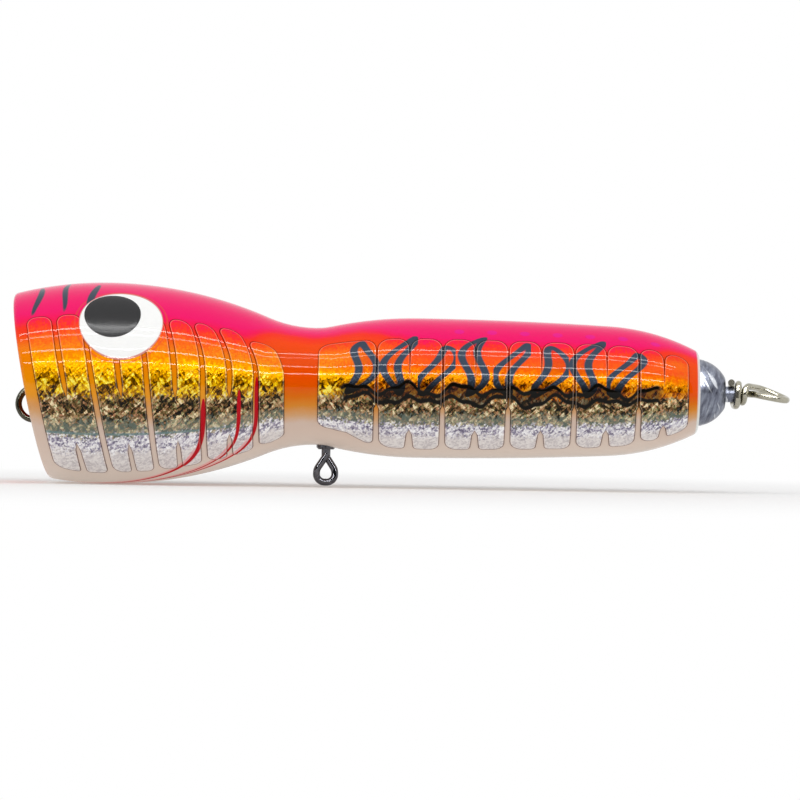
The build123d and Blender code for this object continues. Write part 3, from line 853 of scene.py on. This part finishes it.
def pick_middle_line(panel, x, spans):
    """In edit mode, selects the edges of a panel's middle line that lie within any of the spans."""
    bpy.ops.mesh.select_all(action="DESELECT")
    shape = bmesh.from_edit_mesh(panel.data)
    for edge in shape.edges:
        low, high = sorted(point.co.z for point in edge.verts)
        in_line = all(abs(point.co.x - x) < SAME_PLACE for point in edge.verts)
        for bottom, top in spans:
            if in_line and abs(low - bottom) < SAME_PLACE and abs(high - top) < SAME_PLACE:
                edge.select_set(True)
    bmesh.update_edit_mesh(panel.data)


def round_corner(panel, x, z, size):
    """In edit mode, rounds the corners of a panel that lie at a place."""
    pick(panel, lambda place: abs(place.x - x) < SAME_PLACE and abs(place.z - z) < SAME_PLACE)
    bpy.ops.mesh.bevel(offset=size, offset_type="OFFSET", segments=CORNER_STEPS, affect="VERTICES")


def foil_panel(arc_radius, sides, bottoms, rows, corners):
    """One flat panel of two strips. Sides are its two ends, and 1 or 0 for a slit at each or none. A row
    gives its angle, how far the sides stand back at a slit, and half of how far the strips stand apart.
    Bottoms are the lowest row's three angles, and corners are how far the left, the notch's, the right
    and the top corners are rounded."""
    left, right, left_slit, right_slit = sides
    bottoms = [math.radians(angle) * arc_radius for angle in bottoms]
    rows = [(math.radians(angle) * arc_radius, back * MM, gap * MM) for angle, back, gap in rows]
    top = len(rows) - 1
    middle = (left + right) / 2
    bpy.ops.object.select_all(action="DESELECT")
    bpy.ops.mesh.primitive_grid_add(x_subdivisions=2, y_subdivisions=top, size=1)
    panel = bpy.context.object
    places = {}
    for point in panel.data.vertices:
        column = round((point.co.x + 0.5) * 2)
        row = round((point.co.y + 0.5) * top)
        level, back, _ = rows[row]
        if row == 0:
            level = bottoms[column]
        x = (left + back * left_slit, middle, right - back * right_slit)[column]
        point.co = (x, 0, level)
        places[column, row] = (x, level)
    bpy.ops.object.mode_set(mode="EDIT")
    open_rows = [row for row in range(top) if rows[row][2] + rows[row + 1][2] > 0]
    if open_rows:
        pick_middle_line(panel, middle, [(places[1, row][1], places[1, row + 1][1]) for row in open_rows])
        bpy.ops.mesh.edge_split(type="EDGE")
    shape = bmesh.from_edit_mesh(panel.data)
    for point in shape.verts:
        row = min(range(len(rows)), key=lambda number: abs(places[1, number][1] - point.co.z))
        if abs(point.co.x - middle) < SAME_PLACE and len(point.link_faces) < 4 and rows[row][2] > 0:
            inward = sum(face.calc_center_median().x for face in point.link_faces) / len(point.link_faces)
            point.co.x += math.copysign(rows[row][2], inward - middle)
    bmesh.update_edit_mesh(panel.data)
    left_corner, notch_corner, right_corner, top_corner = corners
    round_corner(panel, *places[0, 0], left_corner)
    round_corner(panel, *places[2, 0], right_corner)
    for x, level in (places[0, top], places[2, top]):
        round_corner(panel, x, level, top_corner)
    for side in (-1, 1):
        if rows[0][2] > 0:
            round_corner(panel, middle + side * rows[0][2], places[1, 0][1], notch_corner)
        if rows[top][2] > 0:
            round_corner(panel, middle + side * rows[top][2], places[1, top][1], top_corner)
    # A cut edge all round, and a paler line within it, a painted highlight
    bpy.ops.mesh.select_all(action="SELECT")
    for width, index in zip(FOIL_EDGES, (CUT_EDGE, HIGHLIGHT_EDGE)):
        bpy.ops.mesh.inset(thickness=width, depth=0, use_boundary=True, use_even_offset=False)
        shape = bmesh.from_edit_mesh(panel.data)
        for face in shape.faces:
            if not face.select and face.material_index == FACE:
                face.material_index = index
        bmesh.update_edit_mesh(panel.data)
    bpy.ops.object.mode_set(mode="OBJECT")
    for finish in foil_finishes:
        panel.data.materials.append(finish)
    return panel


def grid_cut(low, high, direction):
    """In edit mode, cuts a flat piece across at every cell between two places."""
    count = math.ceil((high - low) / FOIL_CELL)
    for number in range(1, count):
        place = Vector(direction) * (low + (high - low) * number / count)
        bpy.ops.mesh.select_all(action="SELECT")
        bpy.ops.mesh.bisect(plane_co=place, plane_no=direction)


def wrap_on_body(piece, arc_radius, slant):
    """Bends the flat sheet round the flank: its height becomes an angle about the turning axis. Slant
    tells how far a place moves along the body, from its flat place, its drop and its angle."""
    for point in piece.data.vertices:
        turn = point.co.z / arc_radius
        x = lip_x + point.co.x
        for _ in range(WRAP_ROUNDS):
            drop = -body_radius(x) * math.sin(turn)
            x = lip_x + point.co.x + (slant(point.co.x, drop, turn) if slant else 0.0)
        radius = body_radius(x) + FOIL_LIFT
        point.co = (x, -radius * math.cos(turn), axis_z + radius * math.sin(turn))


def other_flank(piece, name):
    """A copy of a left piece, mirrored to the right flank, with its own mesh."""
    bpy.ops.object.select_all(action="DESELECT")
    piece.select_set(True)
    bpy.context.view_layer.objects.active = piece
    bpy.ops.object.duplicate()
    copy = bpy.context.object
    copy.name = name
    for point in copy.data.vertices:
        point.co.y = -point.co.y
    edit_all()
    bpy.ops.mesh.flip_normals()
    bpy.ops.object.mode_set(mode="OBJECT")
    return copy


def thicken(piece, thickness, offset):
    """Gives the chosen sheet its thickness, outwards for an offset of 1 and inwards for -1."""
    wall = piece.modifiers.new("wall", "SOLIDIFY")
    wall.thickness = thickness
    wall.offset = offset
    bpy.ops.object.modifier_apply(modifier=wall.name)
    bpy.ops.object.shade_smooth_by_angle(angle=SHEET_SMOOTHING)


def lay_foil(name, arc_radius, edges, plans, slant=None):
    """Makes flat panels between stations, with a slit from each to the next, joins them into one sheet,
    wraps it, gives it its thickness, and copies it to the right."""
    panels = []
    last = len(plans) - 1
    for number, plan in enumerate(plans):
        sides = (edges[number] * MM, edges[number + 1] * MM, min(1, number), min(1, last - number))
        panels.append(foil_panel(arc_radius, sides, *plan))
    bpy.ops.object.select_all(action="DESELECT")
    for panel in panels:
        panel.select_set(True)
    bpy.context.view_layer.objects.active = panels[0]
    bpy.ops.object.join()
    sheet = bpy.context.object
    sheet.name = f"{name}_left_sheet"
    xs = [point.co.x for point in sheet.data.vertices]
    zs = [point.co.z for point in sheet.data.vertices]
    bpy.ops.object.mode_set(mode="EDIT")
    grid_cut(min(xs), max(xs), (1, 0, 0))
    grid_cut(min(zs), max(zs), (0, 0, 1))
    bpy.ops.object.mode_set(mode="OBJECT")
    wrap_on_body(sheet, arc_radius, slant)
    edit_all()
    bpy.ops.mesh.normals_make_consistent(inside=False)
    bpy.ops.object.mode_set(mode="OBJECT")
    if sum(face.normal.y * face.area for face in sheet.data.polygons) > 0:
        bpy.ops.object.mode_set(mode="EDIT")
        bpy.ops.mesh.flip_normals()
        bpy.ops.object.mode_set(mode="OBJECT")
    thicken(sheet, FOIL_THICKNESS, 1.0)
    right = other_flank(sheet, f"{name}_right_sheet")
    for piece, node in ((sheet, f"{name}_left"), (right, f"{name}_right")):
        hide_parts(node)
        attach(piece, "lure")


# Angles become heights on the flat sheet at this radius
HEAD_ARC = 24.5 * MM
HEAD_ROWS = (
    (-61.5, 0.75, 0.7),
    (-42.0, 0.7, 0.5),
    (-36.5, 0.7, 0.0),
    (-9.5, 0.65, 0.0),
    (-3.0, 0.6, 0.5),
    (12.0, 0.5, 0.62),
    (42.0, 0.35, 0.5),
)
HEAD_CORNERS = (3.3 * MM, 1.1 * MM, 1.9 * MM, 2.6 * MM)
RIM_BAND = 3.2
FOIL_FRONT = LIP_RADIUS * math.tan(MOUTH_SLANT) + RIM_BAND
HEAD_EDGES = (FOIL_FRONT, 21.9, 35.3, 49.0, 62.0, 69.0)
LAST_FINGER_ROWS = ((-57.0, 0.7, 0.0), (-38.0, 0.65, 0.0), (12.0, 0.5, 0.0), (36.0, 0.35, 0.0))
LAST_FINGER_CORNERS = (1.8 * MM, 0.0, 2.6 * MM, 2.6 * MM)
HEAD_BOTTOMS = ((-59.0, -61.5, -62.0), (-61.0, -61.0, -61.5), (-61.5, -61.0, -60.5), (-60.5, -60.0, -59.5))
LAST_FINGER = ((-56.0, -57.5, -54.0), LAST_FINGER_ROWS, LAST_FINGER_CORNERS)
LEAN_ENDS = (14.0 * MM, 56.0 * MM)
SWEEP_ENDS = (30.0 * MM, 54.0 * MM)
SWEEP_ANGLES = (4.0, 42.0)
SWEEP_FORWARD = -4.4 * MM


def head_slant(x, drop, turn):
    """The head's slits lean as the mouth does, less and less towards the waist, and their tops curve
    forward, more and more towards the waist."""
    lean_start, lean_end = LEAN_ENDS
    share = min(1.0, max(0.0, (x - lean_start) / (lean_end - lean_start)))
    lean = math.tan(MOUTH_SLANT) * (1 - share * share * (3 - 2 * share))
    sweep_start, sweep_end = SWEEP_ENDS
    share = min(1.0, max(0.0, (x - sweep_start) / (sweep_end - sweep_start)))
    low, high = SWEEP_ANGLES
    rise = max(0.0, (math.degrees(turn) - low) / (high - low))
    return lean * drop + SWEEP_FORWARD * share * rise**2


head_panels = [(bottoms, HEAD_ROWS, HEAD_CORNERS) for bottoms in HEAD_BOTTOMS]
lay_foil("head_foil", HEAD_ARC, HEAD_EDGES, [*head_panels, LAST_FINGER], head_slant)

FLANK_ARC = 17.3 * MM
FLANK_ROWS = (
    (-59.0, 0.7, 1.1),
    (-41.0, 0.64, 0.6),
    (-36.5, 0.62, 0.0),
    (-18.0, 0.56, 0.0),
    (-14.5, 0.08, 0.0),
    (6.0, 0.07, 0.0),
    (44.0, 0.1, 0.1),
)
FLANK_CORNERS = (3.4 * MM, 1.2 * MM, 2.6 * MM, 3.2 * MM)
FLANK_EDGES = (77.2, 91.9, 108.4, 124.7, 141.2, 157.3, 170.0)
WAIST_ROWS = ((-50.0, 0.7, 0.0), (-28.0, 0.6, 0.0), (-18.0, 0.56, 0.0), (-14.5, 0.08, 0.0), (44.0, 0.1, 0.0))
WAIST_CORNERS = (2.4 * MM, 0.0, 3.0 * MM, 3.2 * MM)
WAIST_PANEL = ((-42.0, -45.0, -59.0), WAIST_ROWS, WAIST_CORNERS)
FLANK_BOTTOMS = (
    (-59.0, -59.5, -60.0),
    (-60.0, -59.5, -59.0),
    (-59.5, -59.0, -59.5),
    (-59.5, -58.0, -56.5),
    (-56.0, -54.0, -50.0),
)
flank_panels = [(bottoms, FLANK_ROWS, FLANK_CORNERS) for bottoms in FLANK_BOTTOMS]
lay_foil("flank_foil", FLANK_ARC, FLANK_EDGES, [WAIST_PANEL, *flank_panels])


# ---- Eyes ----
# Two thin stick-on discs on each side, sealed in by the lacquer: a white one pressed on over the
# foil, and a smaller black pupil on it, set forward and high.
EYE_LIFTS = (0.12 * MM, 0.3 * MM)
PUPIL_RADIUS = 7.0 * MM
PUPIL_PLACE = (26.2, 41.8)
PUPIL_LIFTS = (0.26 * MM, 0.42 * MM)
DISC_RINGS = 9
DISC_SIDES = 96
DISC_ROUNDS = 12
# The share of the radius at which a disc's face starts to fall off, and of its thickness that it falls
DISC_EDGE = 0.9
DISC_DROP = 0.45
# How far within its edge the white turns orange-red: where this begins and where it is full, in millimetres
WHITE_EDGE_TINT = (0.35, 0.1)


def lay_disc(name, radius, seat, lifts):
    """A thin round disc pressed onto the left flank, looking out at an angle above the side."""
    station, elevation = seat
    up = math.radians(elevation)
    outward = Vector((0, -math.cos(up), math.sin(up)))
    across = Vector((0, math.sin(up), math.cos(up)))
    bpy.ops.object.select_all(action="DESELECT")
    bpy.ops.mesh.primitive_circle_add(vertices=DISC_SIDES, radius=radius, fill_type="NGON")
    disc = bpy.context.object
    disc.name = name
    edit_all()
    for _ in range(DISC_RINGS):
        bpy.ops.mesh.inset(thickness=radius / (DISC_RINGS + 1), depth=0)
    bpy.ops.object.mode_set(mode="OBJECT")
    low, high = lifts
    for point in disc.data.vertices:
        rounding = max(0.0, math.hypot(point.co.x, point.co.y) / radius - DISC_EDGE) / (1 - DISC_EDGE)
        lift = high - (high - low) * DISC_DROP * rounding**2
        start = Vector((lip_x + station * MM + point.co.x, 0, axis_z)) + across * point.co.y
        out = body_radius(start.x)
        for _ in range(DISC_ROUNDS):
            place = start + outward * out
            out += body_radius(start.x) + lift - math.hypot(place.y, place.z - axis_z)
        point.co = start + outward * out
    thicken(disc, (high - low) * (1 - DISC_DROP), -1.0)
    return disc


eye_white = Finish("eye_white")
place, station, angle, _ = body_places(eye_white)
mottle = eye_white.noise(place, 900.0, 3.0)
white = eye_white.mix(mottle, pigment(244, 244, 242), pigment(249, 249, 248))
tint_start, tint_end = (EYE_RADIUS / MM - within for within in WHITE_EDGE_TINT)
rim = from_seat(station, angle, EYE_PLACE).step(tint_start, tint_end)
white = eye_white.mix(rim * 0.8, white, pigment(206, 92, 66))
white_gloss = {"Roughness": 0.25, "Normal": eye_white.bump(mottle, 0.03, 0.05 * MM)}
white_finish = lacquer(eye_white, white, white_gloss)

eye_black = Finish("eye_black")
mottle = eye_black.noise(eye_black.place(), 700.0, 4.0, 0.65)
black = eye_black.mix(mottle, pigment(8, 8, 10), pigment(26, 26, 29))
black_gloss = {
    "Roughness": 0.22 + mottle * 0.1,
    "Normal": eye_black.bump(mottle, 0.04, 0.05 * MM),
    "Coat IOR": 1.42,
    "Coat Roughness": 0.2,
}
black_finish = lacquer(eye_black, black, black_gloss)

for node, radius, seat, lifts, finish, slot in (
    ("eye_disc", EYE_RADIUS, EYE_PLACE, EYE_LIFTS, white_finish, "eye_white"),
    ("pupil", PUPIL_RADIUS, PUPIL_PLACE, PUPIL_LIFTS, black_finish, "eye_black"),
):
    left_disc = lay_disc(f"{node}_left_disc", radius, seat, lifts)
    left_disc.data.materials.append(finish)
    right_disc = other_flank(left_disc, f"{node}_right_disc")
    for disc, side in ((left_disc, "left"), (right_disc, "right")):
        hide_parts(f"{node}_{side}")
        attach(disc, "lure")


# ---- Wire, washer ----
# Hard stainless wire through the whole lure, bent into an eye at each end and wound back on itself,
# and a stainless washer under the mouth's wraps.
def give_finish(node, material):
    """Puts a finish on a CAD node in place of its plain one."""
    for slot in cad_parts[node].material_slots:
        slot.material = material


# The dark colour of the wire in the mouth is painted shade
NOSE_PAINTED_SHADE = pigment(46, 46, 34)
NOSE_SHADE_ENDS = (9.0, 15.0)


def steel(name, dark, bright, roughness):
    """Drawn stainless steel, with painted shade darkening it where it stands in the mouth."""
    finish = Finish(name)
    place, station, _, _ = body_places(finish)
    drawn = finish.noise(drawn_out(finish, place, (0, 0, 0), (12.5, 1, 1)), 5200.0, 3.0, 0.6)
    stain = finish.noise(place, 360.0, 3.0, 0.6)
    colour = finish.mix(drawn * 0.5 + stain * 0.5, dark, bright)
    colour = finish.mix((1 - station.step(*NOSE_SHADE_ENDS)) * 0.85, colour, NOSE_PAINTED_SHADE)
    relief = finish.bump(drawn, 0.12, 0.03 * MM)
    return finish.shader(
        {"Base Color": colour, "Metallic": 1.0, "Roughness": roughness + stain * 0.16, "Normal": relief}
    )


give_finish("through_wire", steel("stainless_wire", pigment(104, 100, 82), pigment(214, 210, 194), 0.1))
give_finish("nose_washer", steel("stainless_washer", pigment(150, 148, 142), pigment(214, 212, 206), 0.24))


# ---- Lead ----
# Soft cast lead: a dome on the tail, filed to its shape, and two slugs shut in the belly. It is dull
# blue-grey, with broad filing marks and a few bright scratches.
lead = Finish("cast_lead")
place = lead.place()
blotch = lead.noise(place, 210.0, 4.0, 0.6)
pits = lead.noise(place, 1500.0, 4.0, 0.7)
filed = drawn_out(lead, place, (0.3, 0.25, 0.0), (1.0, 5.0, 5.0))
filing = lead.noise(filed, 1500.0, 3.0, 0.6)
scored = drawn_out(lead, place, (0.9, -0.5, 0.2), (1.0, 7.0, 7.0))
scratch = lead.noise(scored, 900.0, 1.0, 0.4).step(0.62, 0.7)
tone = lead.ramp(
    blotch * 0.5 + filing * 0.5,
    (0.34, (70, 72, 84)),
    (0.47, (112, 116, 130)),
    (0.58, (142, 147, 160)),
    (0.7, (196, 200, 208)),
)
tone = lead.mix(scratch * 0.7, tone, pigment(232, 235, 240))
relief = lead.bump(filing * 0.5 + pits * 0.3 - scratch * 0.4, 0.4, 0.12 * MM)
sockets = {"Base Color": tone, "Metallic": 0.9, "Roughness": 0.2 + blotch * 0.25, "Normal": relief}
lead_finish = lead.shader(sockets)
for node in ("tail_weight", "ballast_front", "ballast_rear"):
    give_finish(node, lead_finish)


# ---- Belly swivel ----
# A pressed barrel with two forged eyes, plated in black nickel. The upper eye is linked round the
# wire and held fast in the belly, and the lower one turns and takes the hook.
nickel = Finish("black_nickel")
wear = nickel.noise(nickel.place(), 800.0, 4.0, 0.6)
tone = nickel.mix(wear, pigment(66, 66, 70), pigment(122, 122, 128))
relief = nickel.bump(wear, 0.1, 0.04 * MM)
sockets = {"Base Color": tone, "Metallic": 1.0, "Roughness": 0.06 + wear * 0.08, "Normal": relief}
nickel_finish = nickel.shader(sockets)
for node in ("swivel_barrel", "swivel_lower_eye", "swivel_upper_eye"):
    give_finish(node, nickel_finish)
